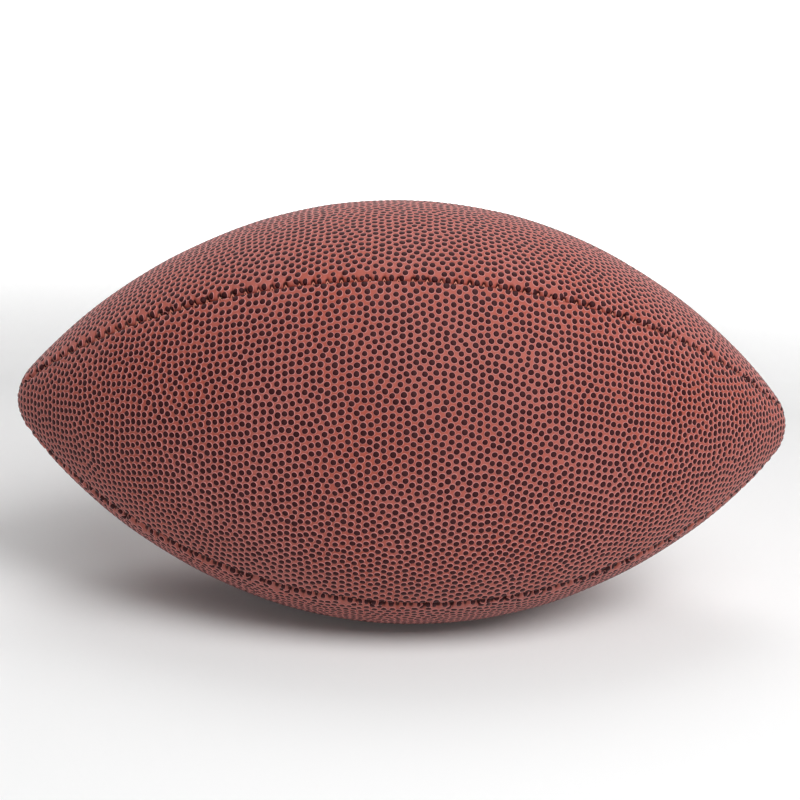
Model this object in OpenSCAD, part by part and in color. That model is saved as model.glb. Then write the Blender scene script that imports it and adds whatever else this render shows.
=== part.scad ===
// American football: four sewn cover panels, their linings, an inflatable
// bladder with its needle valve, and a lace that closes the slot in one seam.
// The ball lies on the middle of its bottom panel. X runs from tip to tip, Z is
// up, and the lace sits at the upper back.

/* [Ball] */
// Length of the ball from tip to tip
ball_length = 286; // [264:1:300]
// Width of the ball across its middle
ball_width = 156.6; // [146:0.2:170]
// Radius of the arc that runs lengthwise over the belly
belly_arc_radius = 167; // [155:1:180]
// Half of the angle that the belly arc spans, in degrees
belly_arc_angle = 22; // [19:0.5:25]
// Radius of the blunt tips
tip_radius = 18; // [15:0.5:21]
// Depth of the small flat that the ball lies on
rest_flat_depth = 0.12; // [0.08:0.02:0.3]

/* [Cover panels] */
// Thickness of the pebbled cover
cover_thickness = 1.8; // [1.4:0.1:2.4]
// Thickness of the thinned edge that is turned in at a seam
turned_edge_thickness = 1.3; // [0.9:0.1:1.6]
// Depth that the turned edge reaches below the surface of the ball
turned_edge_depth = 6.2; // [5.6:0.1:7.5]
// Width of the rounded crease on each side of a seam
crease_width = 2.6; // [1.8:0.1:3.2]
// Depth of the crease
crease_depth = 1.4; // [0.8:0.1:1.6]

/* [Lining] */
// Thickness of the woven lining behind each cover panel
lining_thickness = 0.9; // [0.6:0.1:1.2]
// Clearance between layers that lie on each other
layer_gap = 0.1; // [0.06:0.02:0.2]

/* [Seams] */
// Distance from stitch to stitch along a seam
stitch_pitch = 4.7; // [4.2:0.1:8]
// Thickness of the sewing thread
thread_diameter = 0.8; // [0.5:0.1:1]
// Depth of the stitch line below the surface of the ball
stitch_depth = 4.1; // [3.9:0.1:4.8]
// Distance from the tip, along the seam, where the stitches end
stitch_end_distance = 13; // [11:0.5:20]

/* [Lace] */
// Number of cross bars
bar_count = 8; // [5:1:9]
// Distance from one cross bar to the next
bar_pitch = 14; // [12:0.5:15]
// Distance between the two rows of lace holes
hole_row_spacing = 26; // [22:0.5:30]
// Distance from the last cross bar to the hole at the end of the lacing
end_hole_distance = 9; // [8:0.5:11]
// Diameter of a lace hole
lace_hole_diameter = 5.7; // [5.5:0.1:6.4]
// Width of the flat lace
lace_width = 5; // [4:0.1:5]
// Thickness of the flat lace
lace_thickness = 1.8; // [1.2:0.1:1.9]

/* [Lace facings and tongue] */
// Thickness of the leather facing behind each row of lace holes
facing_thickness = 1.2; // [0.8:0.1:1.6]
// Width of a facing, measured from the seam
facing_width = 20; // [18:0.5:22]
// Thickness of the tongue that keeps the lace off the bladder
tongue_thickness = 1; // [0.8:0.1:1.6]
// Width of the tongue
tongue_width = 40; // [38:1:44]

/* [Bladder and valve] */
// Thickness of the bladder wall
bladder_wall = 1; // [0.8:0.1:1.4]
// Distance from the lace seam to the valve, measured round the ball
valve_distance = 33; // [31:0.5:42]
// Diameter of the needle bore
needle_bore_diameter = 2.5; // [2.2:0.1:2.8]
// Length of the needle bore
needle_bore_length = 8; // [7:0.5:10]
// Diameter of the valve head and stem
valve_stem_diameter = 6.4; // [5.8:0.2:7]
// Diameter of the valve flange
valve_flange_diameter = 16; // [14:0.5:17]
// Thickness of the valve flange
valve_flange_thickness = 1.2; // [0.8:0.1:1.6]
// Depth of the valve head below the surface of the cover
valve_head_recess = 0.4; // [0.2:0.1:0.8]

/* [Hidden] */

// Directions round the long axis, in degrees: 0 faces front, 90 faces up.
front_angle = 0;
top_angle = 90;
back_angle = 180;
bottom_angle = 270;
half_panel_angle = 45;
lace_seam_angle = top_angle + half_panel_angle;

// Fineness of the round surfaces
round_steps = 120;
hole_steps = 48;
belly_steps = 9;
flank_steps = 11;
tip_steps = 5;
corner_steps = 6;
overrun = 1;
seam_gap = 0.05;
crease_fade_angle = 4;

// Three arcs that meet without a corner make the outline: belly, flank, tip.
// Points and directions are [along the ball, away from its axis].
belly_radius = ball_width / 2;
half_length = ball_length / 2;
belly_centre = [0, belly_radius - belly_arc_radius];
belly_normal = [sin(belly_arc_angle), cos(belly_arc_angle)];
belly_end = belly_centre + belly_arc_radius * belly_normal;
tip_centre = [half_length - tip_radius, 0];
tip_to_belly_end = belly_end - tip_centre;
flank_arc_radius = (tip_to_belly_end * tip_to_belly_end - tip_radius * tip_radius)
  / (2 * (tip_to_belly_end * belly_normal - tip_radius));
flank_centre = belly_end - flank_arc_radius * belly_normal;
flank_to_tip = tip_centre - flank_centre;
flank_end_angle = atan2(flank_to_tip[0], flank_to_tip[1]);

// Length of each arc along the surface
degree = PI / 180;
belly_run = belly_arc_radius * belly_arc_angle * degree;
flank_run = belly_run + flank_arc_radius * (flank_end_angle - belly_arc_angle) * degree;
tip_run = flank_run + tip_radius * (90 - flank_end_angle) * degree;

// Depth of each layer below the surface of the ball
lining_depth = cover_thickness + layer_gap;
under_lining = lining_depth + lining_thickness;
facing_depth = under_lining + layer_gap;
under_facing = facing_depth + facing_thickness;
bladder_depth = under_lining + layer_gap;

// Half widths of what stands in a seam, measured from the middle of the seam
lining_edge_start = seam_gap + turned_edge_thickness + layer_gap;
lining_edge_end = lining_edge_start + lining_thickness;
thread_radius = thread_diameter / 2;
thread_side = lining_edge_end + layer_gap + thread_radius;
seam_channel_half = thread_side + thread_radius + layer_gap;
seam_channel_depth = turned_edge_depth + layer_gap;
needle_hole_radius = thread_radius + layer_gap;
stitch_end = tip_run - stitch_end_distance;

// The lacing, in distances along the seam and away from it
hole_row = hole_row_spacing / 2;
hole_radius = lace_hole_diameter / 2;
last_bar = (bar_count - 1) / 2 * bar_pitch;
end_hole = last_bar + end_hole_distance;
slot_half = end_hole + hole_radius + layer_gap;
slot_reach = run_point(slot_half, 0)[0];
half_lace = lace_thickness / 2;
lace_bend = half_lace + 0.25 * lace_thickness;
strand_depth = -half_lace - layer_gap;
bar_depth = strand_depth - lace_thickness - layer_gap;
lace_under_depth = under_facing + layer_gap + half_lace;
tongue_depth = lace_under_depth + half_lace + layer_gap;
under_tongue = tongue_depth + tongue_thickness;
tongue_corner = tongue_width / 6;
pocket_depth = under_tongue + layer_gap;

// The valve, in depths below the surface of the ball at its middle
valve_angle = lace_seam_angle + valve_distance / belly_radius / degree;
needle_bore_radius = needle_bore_diameter / 2;
valve_stem_radius = valve_stem_diameter / 2;
valve_hole_radius = valve_stem_radius + layer_gap;
valve_flange_radius = valve_flange_diameter / 2;
valve_seat_radius = valve_flange_radius + layer_gap;
valve_flange_depth = belly_radius - sqrt(pow(belly_radius - under_lining, 2) - pow(valve_seat_radius, 2))
  + layer_gap;
valve_seat_depth = valve_flange_depth + valve_flange_thickness + layer_gap;
patch_radius = valve_flange_radius + bladder_wall;
patch_depth = valve_seat_depth + bladder_wall + layer_gap;
patch_thickness = bladder_wall;
core_radius = valve_stem_radius - needle_bore_radius / 2;
core_length = needle_bore_length / 2;
core_lip = needle_bore_radius / 2;
core_top = valve_head_recess + needle_bore_length;
valve_stem_end = core_top + core_length + layer_gap + core_lip;
core_slit_width = layer_gap;

// Height of the ball's axis above the surface that the ball lies on
axis_height = belly_radius - rest_flat_depth;

cover_colour = [0.62, 0.35, 0.3];
lining_colour = [0.86, 0.82, 0.72];
thread_colour = [0.36, 0.16, 0.13];
lace_colour = [0.94, 0.93, 0.9];
facing_colour = [0.5, 0.3, 0.22];
bladder_colour = [0.16, 0.16, 0.17];
valve_colour = [0.1, 0.1, 0.1];

// Points on an arc, from one angle to another, both measured from straight out
function arc_points(centre, radius, from, to, steps) = [
  for (i = [0 : steps])
    let (angle = from + (to - from) * i / steps)
    centre + radius * [sin(angle), cos(angle)]
];

// One half of the outline, from the belly to the tip, at a depth below the surface.
// Its points lie on the arcs but not where one arc passes into the next.
function half_outline(depth) = concat(
  [for (i = [0 : belly_steps])
    belly_centre + (belly_arc_radius - depth) * heading(belly_arc_angle * i / (belly_steps + 0.5))],
  [for (i = [0 : flank_steps])
    flank_centre + (flank_arc_radius - depth)
      * heading(belly_arc_angle + (flank_end_angle - belly_arc_angle) * (i + 0.5) / (flank_steps + 1))],
  [for (i = [0 : tip_steps])
    tip_centre + (tip_radius - depth)
      * heading(flank_end_angle + (90 - flank_end_angle) * (i + 0.5) / (tip_steps + 0.5))]
);

function heading(angle) = [sin(angle), cos(angle)];

function reversed(list) = [for (i = [len(list) - 1 : -1 : 0]) list[i]];

// The whole outline on one side of the axis, from tip to tip
function side_outline(depth) =
  let (half = half_outline(depth))
  concat([for (p = reversed(half)) [-p[0], p[1]]], [for (i = [1 : len(half) - 1]) half[i]]);

// Angle of the surface at a distance along the seam
function run_angle(run) =
  let (s = abs(run))
  sign(run) * (
    s < belly_run ? s / belly_arc_radius / degree
    : s < flank_run ? belly_arc_angle + (s - belly_run) / flank_arc_radius / degree
    : flank_end_angle + (s - flank_run) / tip_radius / degree
  );

// Point of the outline at a distance along the seam and a depth below the surface
function run_point(run, depth) =
  let (s = abs(run), angle = run_angle(s), out = [sin(angle), cos(angle)])
  let (p = s < belly_run ? belly_centre + (belly_arc_radius - depth) * out
    : s < flank_run ? flank_centre + (flank_arc_radius - depth) * out
    : tip_centre + (tip_radius - depth) * out)
  [sign(run) * p[0], p[1]];

// Directions at a distance along the seam and away from it: along, across, out
function skin_axes(run, across) =
  let (angle = run_angle(run), reach = run_point(run, 0)[1] / cos(angle))
  let (turn = across / reach / degree)
  [
    [cos(angle), 0, -sin(angle)],
    [-sin(angle) * sin(turn), cos(turn), -cos(angle) * sin(turn)],
    [sin(angle) * cos(turn), sin(turn), cos(angle) * cos(turn)]
  ];

// Point at a distance along the seam, away from it and below the surface
function skin_point(run, across, depth) =
  let (angle = run_angle(run), p = run_point(run, 0), reach = p[1] / cos(angle))
  [p[0] - reach * sin(angle), 0, 0] + (reach - depth) * skin_axes(run, across)[2];

function unit(v) = v / norm(v);

// Triangles of a closed tube whose rings all have the same number of points
function tube_faces(rings, sides) = concat(
  [for (j = [1 : sides - 2]) [0, j + 1, j]],
  [for (i = [0 : rings - 2], j = [0 : sides - 1])
    let (k = (j + 1) % sides, a = i * sides, b = a + sides)
    each [[a + j, a + k, b + k], [a + j, b + k, b + j]]],
  [for (j = [1 : sides - 2]) let (last = (rings - 1) * sides) [last, last + j, last + j + 1]]
);

// Turns a shape so that its Z faces a direction round the ball, at the height of the axis
module facing(angle) {
  translate([0, 0, axis_height])
    rotate([top_angle - angle, 0, 0])
      children();
}

module outline_area(depth) {
  polygon([for (p = side_outline(depth)) [p[1], p[0]]]);
}

// The ball as a solid, at a depth below its surface
module spindle(depth) {
  rotate([0, 90, 0])
    rotate_extrude($fn = round_steps)
      outline_area(depth);
}

module spindle_shell(outer_depth, inner_depth) {
  difference() {
    spindle(outer_depth);
    spindle(inner_depth);
  }
}

// A band of the plane through the long axis, between two depths
module plane_band(outer_depth, inner_depth) {
  difference() {
    polygon(side_outline(outer_depth));
    polygon(side_outline(inner_depth));
  }
}

// A plate in the seam plane, from one distance off the plane to another
module seam_plate(outer_depth, inner_depth, from, to, slotted) {
  translate([0, to, 0])
    rotate([90, 0, 0])
      linear_extrude(height = to - from)
        difference() {
          plane_band(outer_depth, inner_depth);
          if (slotted)
            translate([-slot_reach, 0])
              square([2 * slot_reach, belly_radius]);
        }
}

// The half outlines swept as a crease: two rounded shoulders that meet in the seam
module crease_area(radius) {
  shoulder = (crease_width * crease_width + crease_depth * crease_depth) / (2 * crease_depth);
  translate([radius, 0])
    difference() {
      translate([-crease_depth, -crease_width])
        square([crease_depth + overrun, 2 * crease_width]);
      translate([-shoulder, crease_width])
        circle(r = shoulder, $fn = round_steps);
      translate([-shoulder, -crease_width])
        circle(r = shoulder, $fn = round_steps);
    }
}

// One arc of the crease, between two angles measured from straight out
module crease_arc(centre, radius, from, to) {
  translate([centre[0], 0, centre[1]])
    rotate([90, 0, 0])
      rotate([0, 0, 90 - to])
        rotate_extrude(angle = to - from, $fn = 2 * round_steps)
          crease_area(radius);
}

// The crease of one seam. Past the flank it runs straight on, so that it fades out
// where the surface curves away to the tip.
module crease() {
  crease_arc(belly_centre, belly_arc_radius, -belly_arc_angle, belly_arc_angle);
  for (end = [0, 1])
    mirror([end, 0, 0])
      crease_arc(flank_centre, flank_arc_radius, belly_arc_angle, flank_end_angle + crease_fade_angle);
}

// Places of the stitches along one run of a seam
function stitch_runs(from, to) =
  let (count = floor((to - from) / stitch_pitch))
  [for (i = [0 : count]) (from + to) / 2 + (i - count / 2) * stitch_pitch];

function seam_stitches(slotted) = slotted
  ? concat(
    stitch_runs(-stitch_end, -slot_half - thread_diameter),
    stitch_runs(slot_half + thread_diameter, stitch_end)
  )
  : stitch_runs(-stitch_end, stitch_end);

module needle_holes(slotted) {
  for (run = seam_stitches(slotted)) {
    p = run_point(run, stitch_depth);
    translate([p[0], 0, p[1]])
      rotate([90, 0, 0])
        cylinder(r = needle_hole_radius, h = 2 * thread_side, center = true, $fn = hole_steps);
  }
}

// The quarter of space that one panel fills, from a distance off both seam planes
module quarter_space(start) {
  translate([-ball_length, start, start])
    cube([2 * ball_length, ball_width, ball_width]);
}

// A layer of one quarter of the ball with its edges turned in along both seams
module quarter_layer(outer_depth, thickness, start, edge_thickness, slot_first, slot_second) {
  middle_depth = outer_depth + thickness / 2;
  edge_end = start + edge_thickness;
  intersection() {
    quarter_space(start);
    union() {
      spindle_shell(outer_depth, outer_depth + thickness);
      seam_plate(middle_depth, turned_edge_depth, start, edge_end, slot_first);
      rotate([-90, 0, 0])
        mirror([0, 1, 0])
          seam_plate(middle_depth, turned_edge_depth, start, edge_end, slot_second);
    }
  }
}

// Works on the two seams of a quarter: the first faces up, the second faces across
module both_seams(slot_first, slot_second) {
  seam_cuts(slot_first)
    children();
  rotate([-90, 0, 0])
    seam_cuts(slot_second)
      children();
}

module seam_cuts(slotted) {
  needle_holes(slotted);
  if (slotted)
    lace_holes();
  children();
}

// Punched holes of the lacing, square to the surface
module lace_holes() {
  for (i = [0 : bar_count - 1], side = [-1, 1])
    lace_hole(-last_bar + i * bar_pitch, side * hole_row);
  for (end = [-1, 1])
    lace_hole(end * end_hole, 0);
}

module lace_hole(run, across) {
  axes = skin_axes(run, across);
  multmatrix([
    [axes[0][0], axes[1][0], axes[2][0], skin_point(run, across, under_facing + overrun)[0]],
    [axes[0][1], axes[1][1], axes[2][1], skin_point(run, across, under_facing + overrun)[1]],
    [axes[0][2], axes[1][2], axes[2][2], skin_point(run, across, under_facing + overrun)[2]],
    [0, 0, 0, 1]
  ])
    cylinder(r = hole_radius, h = under_facing + 2 * overrun, $fn = hole_steps);
}

module cover_quarter(angle, slot_first, slot_second) {
  facing(angle - half_panel_angle)
    difference() {
      quarter_layer(0, cover_thickness, seam_gap, turned_edge_thickness, slot_first, slot_second);
      both_seams(slot_first, slot_second)
        crease();
    }
}

module lining_quarter(angle, slot_first, slot_second) {
  facing(angle - half_panel_angle)
    difference() {
      quarter_layer(
        lining_depth, lining_thickness, lining_edge_start, lining_thickness, slot_first, slot_second
      );
      both_seams(slot_first, slot_second);
    }
}

// The opening that the valve stem passes through
module valve_passage() {
  facing(valve_angle)
    cylinder(r = valve_hole_radius, h = ball_width, $fn = hole_steps);
}

module cover_panel_front() {
  color(cover_colour)
    cover_quarter(front_angle, false, false);
}

module cover_panel_top() {
  color(cover_colour)
    cover_quarter(top_angle, false, true);
}

module cover_panel_back() {
  color(cover_colour)
    difference() {
      cover_quarter(back_angle, true, false);
      valve_passage();
    }
}

module cover_panel_bottom() {
  color(cover_colour)
    difference() {
      cover_quarter(bottom_angle, false, false);
      translate([-half_length, -belly_radius, -ball_width])
        cube([ball_length, ball_width, ball_width]);
    }
}

module lining_panel_front() {
  color(lining_colour)
    lining_quarter(front_angle, false, false);
}

module lining_panel_top() {
  color(lining_colour)
    lining_quarter(top_angle, false, true);
}

module lining_panel_back() {
  color(lining_colour)
    difference() {
      lining_quarter(back_angle, true, false);
      valve_passage();
    }
}

module lining_panel_bottom() {
  color(lining_colour)
    lining_quarter(bottom_angle, false, false);
}

// Thread that weaves through the two turned edges: it crosses the seam at each
// stitch and runs along the edge to the next one
thread_sides = 6;

function thread_corners(runs) = [
  for (i = [0 : len(runs) - 1], step = [0, 1])
    let (side = (i + step) % 2 == 0 ? -1 : 1)
    [runs[i], side * thread_side, i % 2 == 0 ? -1 : 1]
];

function thread_ring(corner) =
  let (p = run_point(corner[0], stitch_depth), angle = run_angle(corner[0]))
  let (along = [cos(angle), 0, -sin(angle)], out = [sin(angle), 0, cos(angle)])
  let (mitre = corner[2] * along + [0, 1, 0])
  [for (j = [0 : thread_sides - 1])
    let (turn = 360 * j / thread_sides)
    [p[0], corner[1], p[1]] + thread_radius * (cos(turn) * mitre + sin(turn) * out)];

module woven_thread(runs) {
  corners = thread_corners(runs);
  polyhedron(
    points = [for (c = corners) each thread_ring(c)],
    faces = tube_faces(len(corners), thread_sides)
  );
}

module seam_thread(angle) {
  color(thread_colour)
    facing(angle)
      woven_thread(stitch_runs(-stitch_end, stitch_end));
}

module seam_thread_upper_front() {
  seam_thread(front_angle + half_panel_angle);
}

module seam_thread_lower_front() {
  seam_thread(front_angle - half_panel_angle);
}

module seam_thread_lower_back() {
  seam_thread(back_angle + half_panel_angle);
}

module seam_thread_lace_seam() {
  color(thread_colour)
    facing(lace_seam_angle)
      for (end = [0, 1])
        mirror([end, 0, 0])
          woven_thread(stitch_runs(slot_half + thread_diameter, stitch_end));
}

// A plate with round corners, tall enough to cut a layer out of the shell
module rounded_block(length, width, corner) {
  middle = [length / 2 - corner, width / 2 - corner];
  linear_extrude(height = ball_width)
    polygon([
      for (turn = [[1, 1, 0], [1, -1, 90], [-1, -1, 180], [-1, 1, 270]])
        let (centre = [turn[0] * middle[0], turn[1] * middle[1]])
        each arc_points(centre, corner, turn[2], turn[2] + 90, corner_steps)
    ]);
}

// Both facings lie under the lining, one on each side of the slot
module facing_layer(side) {
  facing(lace_seam_angle)
    difference() {
      intersection() {
        spindle_shell(facing_depth, under_facing);
        rounded_block(2 * (slot_reach - layer_gap), 2 * facing_width, tongue_corner);
        translate([-slot_reach, side < 0 ? -ball_width - seam_gap : seam_gap, 0])
          cube([2 * slot_reach, ball_width, ball_width]);
      }
      lace_holes();
    }
}

module lace_facing_top() {
  color(facing_colour)
    facing_layer(-1);
}

module lace_facing_back() {
  color(facing_colour)
    facing_layer(1);
}

module lace_tongue() {
  color(lining_colour)
    facing(lace_seam_angle)
      intersection() {
        spindle_shell(tongue_depth, under_tongue);
        rounded_block(2 * (slot_reach - layer_gap), tongue_width, tongue_corner);
      }
}

// The lace is one flat strip. Each place on its route is [distance along the
// seam, distance across it, depth below the surface, turn of the strip], where
// a turn of 0 lays its width along the seam and 90 lays it across.
bend_steps = 3;
bar_rise_steps = 3;
under_steps = 4;

// A quarter bend between the surface and a hole, going down at the hole's middle
function bend_places(run, across, side, from_depth, to_depth, steps) = [
  for (i = [0 : steps])
    let (angle = 90 * i / steps)
    [run, across - side * lace_bend * (1 - sin(angle)), from_depth
      + sign(to_depth - from_depth) * lace_bend * (1 - cos(angle)), 0]
];

// From the surface into the hole, and from the hole to the underside
function dive_places(run, across, side, top_depth) = concat(
  bend_places(run, across, side, top_depth, lace_under_depth, bend_steps),
  reversed(bend_places(run, across, side, lace_under_depth, top_depth, bend_steps))
);

// A cross bar rises from the cover onto the strand that runs along the seam
bar_shoulder = hole_row - lace_bend;
bar_crest = lace_width / 2 + half_lace / 2;
function bar_places(run) =
  let (left = [for (i = [0 : bar_rise_steps])
    let (share = i / bar_rise_steps, ease = (1 - cos(180 * share)) / 2)
    [run, -bar_shoulder + 0.25 * bar_shoulder + (0.75 * bar_shoulder - bar_crest) * share,
      strand_depth + (bar_depth - strand_depth) * ease, 0]])
  concat(left, [[run, 0, bar_depth, 0]], [for (p = reversed(left)) [p[0], -p[1], p[2], p[3]]]);

function wrap_places(run) = concat(
  reversed(dive_places(run, -hole_row, -1, strand_depth)),
  bar_places(run),
  dive_places(run, hole_row, 1, strand_depth)
);

// The strand ends bend down into the end holes, turn and leave sideways
function strand_end_places(end, side) = concat(
  [for (i = [0 : bend_steps])
    let (angle = 90 * i / bend_steps)
    [end * (end_hole - lace_bend * (1 - sin(angle))), 0, strand_depth + lace_bend * (1 - cos(angle)), 90]],
  [for (i = [1 : bend_steps])
    let (share = i / (bend_steps + 1))
    [end * end_hole, 0, strand_depth + lace_bend
      + (lace_under_depth - strand_depth - 2 * lace_bend) * share, 90 - 90 * share]],
  reversed(bend_places(end * end_hole, 0, -side, lace_under_depth, strand_depth, bend_steps))
);

// Places between two others on the underside, which keep to the curve of the ball
function under_places(from, to) = [
  for (i = [1 : under_steps - 1])
    let (share = i / under_steps)
    [from[0] + (to[0] - from[0]) * share, from[1] + (to[1] - from[1]) * share, lace_under_depth, 0]
];

strand_steps = 2 * bar_count;
first_tail_end = [-end_hole, hole_row, lace_under_depth, 0];
last_tail_end = [-last_bar - lace_width / 2, -lace_width, lace_under_depth, 0];
lace_route = concat(
  [first_tail_end],
  under_places(first_tail_end, [-end_hole, lace_bend]),
  reversed(strand_end_places(-1, 1)),
  [for (i = [1 : strand_steps - 1])
    [(end_hole - lace_bend) * (2 * i / strand_steps - 1), 0, strand_depth, 90]],
  strand_end_places(1, -1),
  under_places([end_hole, -lace_bend], [last_bar, -bar_shoulder]),
  [for (i = [bar_count - 1 : -1 : 0])
    let (run = -last_bar + i * bar_pitch)
    each concat(
      wrap_places(run),
      under_places([run, bar_shoulder], i > 0 ? [run - bar_pitch, -bar_shoulder] : last_tail_end)
    )],
  [last_tail_end]
);

// Cross-section of the lace, as shares of its half width and half thickness
lace_section_shares = [
  [1, 0.45], [0.82, 1], [-0.82, 1], [-1, 0.45], [-1, -0.45], [-0.82, -1], [0.82, -1], [1, -0.45]
];

function place_point(place) = skin_point(place[0], place[1], place[2]);

function lace_ring(i) =
  let (place = lace_route[i], axes = skin_axes(place[0], place[1]), last = len(lace_route) - 1)
  let (ahead = unit(place_point(lace_route[min(i + 1, last)]) - place_point(lace_route[max(i - 1, 0)])))
  let (wide = cos(place[3]) * axes[0] + sin(place[3]) * axes[1])
  let (thick = unit(cross(ahead, wide)))
  [for (share = lace_section_shares)
    place_point(place) + share[0] * lace_width / 2 * wide + share[1] * half_lace * thick];

module lace() {
  color(lace_colour)
    facing(lace_seam_angle)
      polyhedron(
        points = [for (i = [0 : len(lace_route) - 1]) each lace_ring(i)],
        faces = tube_faces(len(lace_route), len(lace_section_shares))
      );
}

// Space for the turned edges, taken out of the bladder with a wall round it
module seam_channels(wall) {
  half = seam_channel_half + wall;
  for (seam = [0 : 3])
    rotate([2 * half_panel_angle * seam, 0, 0])
      seam_plate(-overrun, seam_channel_depth + wall, -half, half, false);
}

// Space for the lace and its tongue, and for the valve seat
module bladder_pockets(wall) {
  rotate([half_panel_angle - top_angle, 0, 0]) {
    rotate([top_angle - lace_seam_angle, 0, 0])
      difference() {
        rounded_block(2 * (slot_reach + wall), tongue_width + 2 * (layer_gap + wall), tongue_corner);
        spindle(pocket_depth + wall);
      }
    rotate([top_angle - valve_angle, 0, 0])
      translate([0, 0, belly_radius - valve_seat_depth - wall])
        cylinder(r = valve_seat_radius + wall, h = belly_radius, $fn = hole_steps);
  }
}

module bladder_form(wall) {
  difference() {
    spindle(bladder_depth + wall);
    seam_channels(wall);
    bladder_pockets(wall);
  }
}

module bladder() {
  color(bladder_colour)
    difference() {
      facing(half_panel_angle)
        difference() {
          bladder_form(0);
          bladder_form(bladder_wall);
        }
      valve_passage();
    }
}

// Ring that strengthens the bladder where the valve passes through it
module bladder_patch() {
  color(bladder_colour)
    facing(valve_angle)
      translate([0, 0, belly_radius - patch_depth - patch_thickness])
        difference() {
          cylinder(r = patch_radius, h = patch_thickness, $fn = round_steps);
          translate([0, 0, -overrun])
            cylinder(r = valve_hole_radius, h = patch_thickness + 2 * overrun, $fn = hole_steps);
        }
}

module valve_body() {
  color(valve_colour)
    facing(valve_angle)
      translate([0, 0, belly_radius])
        rotate_extrude($fn = round_steps)
          polygon([
            [needle_bore_radius, -valve_head_recess],
            [valve_stem_radius, -valve_head_recess],
            [valve_stem_radius, -valve_flange_depth],
            [valve_flange_radius, -valve_flange_depth],
            [valve_flange_radius, -valve_flange_depth - valve_flange_thickness],
            [valve_stem_radius, -valve_flange_depth - valve_flange_thickness],
            [valve_stem_radius, -valve_stem_end],
            [needle_bore_radius, -valve_stem_end],
            [needle_bore_radius, -valve_stem_end + core_lip],
            [core_radius, -valve_stem_end + core_lip],
            [core_radius, -core_top],
            [needle_bore_radius, -core_top]
          ]);
}

// Slit rubber plug that closes behind the needle
module valve_core() {
  color(valve_colour)
    facing(valve_angle)
      translate([0, 0, belly_radius - core_top - layer_gap / 2 - core_length])
        difference() {
          cylinder(r = core_radius - layer_gap, h = core_length, $fn = round_steps);
          translate([-needle_bore_radius, -core_slit_width / 2, -overrun])
            cube([needle_bore_diameter, core_slit_width, core_length + 2 * overrun]);
        }
}

cover_panel_front();
cover_panel_top();
cover_panel_back();
cover_panel_bottom();
lining_panel_front();
lining_panel_top();
lining_panel_back();
lining_panel_bottom();
seam_thread_upper_front();
seam_thread_lower_front();
seam_thread_lower_back();
seam_thread_lace_seam();
lace();
lace_facing_top();
lace_facing_back();
lace_tongue();
bladder();
bladder_patch();
valve_body();
valve_core();
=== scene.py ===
import math

import bpy
import numpy as np
from mathutils import Matrix, Vector
from mathutils.geometry import delaunay_2d_cdt
from mathutils.kdtree import KDTree


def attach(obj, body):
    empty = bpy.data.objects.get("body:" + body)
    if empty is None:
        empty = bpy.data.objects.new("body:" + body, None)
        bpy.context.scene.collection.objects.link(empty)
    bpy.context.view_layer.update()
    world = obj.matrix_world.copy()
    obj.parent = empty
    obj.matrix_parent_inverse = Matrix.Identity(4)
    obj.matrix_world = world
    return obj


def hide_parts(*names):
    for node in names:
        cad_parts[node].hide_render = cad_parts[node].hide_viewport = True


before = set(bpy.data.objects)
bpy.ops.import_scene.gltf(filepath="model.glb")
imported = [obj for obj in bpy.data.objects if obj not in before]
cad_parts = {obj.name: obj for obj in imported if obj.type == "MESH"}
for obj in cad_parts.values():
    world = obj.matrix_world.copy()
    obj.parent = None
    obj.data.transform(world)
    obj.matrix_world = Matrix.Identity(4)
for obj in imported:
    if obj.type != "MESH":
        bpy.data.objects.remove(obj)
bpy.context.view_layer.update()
print("frame loaded,", len(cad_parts), "nodes")

mm = 0.001
tiny = 1e-6
diagonal = math.sqrt(0.5)

# The ball, in millimetres. X is the long axis, and directions round it are
# 0 front, 90 top, 180 back and 270 bottom, as in the part's own source.
ball = {
    "length": 286.0,
    "width": 156.6,
    "bellyArcRadius": 167.0,
    "bellyArcAngle": math.radians(22.0),
    "tipRadius": 18.0,
    "flatDepth": 0.12,
    "groundDrop": 0.3,  # from the tops of the pebbles to the leather between them
    "outlineSteps": 2000,
}
bellyRadius = ball["width"] / 2
axisHeight = bellyRadius - ball["flatDepth"]
groundDrop = ball["groundDrop"]
bellyArc = ball["bellyArcRadius"]
bellyAngle = ball["bellyArcAngle"]
tipArc = ball["tipRadius"]
bellyCentre = np.array([0.0, bellyRadius - bellyArc])
bellyNormal = np.array([math.sin(bellyAngle), math.cos(bellyAngle)])
bellyEnd = bellyCentre + bellyArc * bellyNormal
tipCentre = np.array([ball["length"] / 2 - tipArc, 0.0])
tipToBelly = bellyEnd - tipCentre
flankArc = (tipToBelly @ tipToBelly - tipArc ** 2) / (2 * (tipToBelly @ bellyNormal - tipArc))
flankCentre = bellyEnd - flankArc * bellyNormal
flankEnd = math.atan2(*(tipCentre - flankCentre))
bellyRun = bellyArc * bellyAngle
flankRun = bellyRun + flankArc * (flankEnd - bellyAngle)
tipRun = flankRun + tipArc * (math.pi / 2 - flankEnd)


def outlineAt(run, depth):  # x, radius and slope at a distance along the surface from the middle
    s = np.abs(run)

    def pick(belly, flank, tip):  # the value of the arc that each place lies on
        return np.where(s < bellyRun, belly, np.where(s < flankRun, flank, tip))

    angle = pick(s / bellyArc, bellyAngle + (s - bellyRun) / flankArc,
                 flankEnd + (s - flankRun) / tipArc)
    arc = pick(bellyArc, flankArc, tipArc) - depth
    x = pick(bellyCentre[0], flankCentre[0], tipCentre[0]) + arc * np.sin(angle)
    radius = pick(bellyCentre[1], flankCentre[1], tipCentre[1]) + arc * np.cos(angle)
    return np.sign(run) * x, radius, angle


def radiusAt(run):  # of the leather between the pebbles
    return outlineAt(run, groundDrop)[1]


def placeObject(name, data):
    piece = bpy.data.objects.new(name, data)
    bpy.context.scene.collection.objects.link(piece)
    return piece


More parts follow.
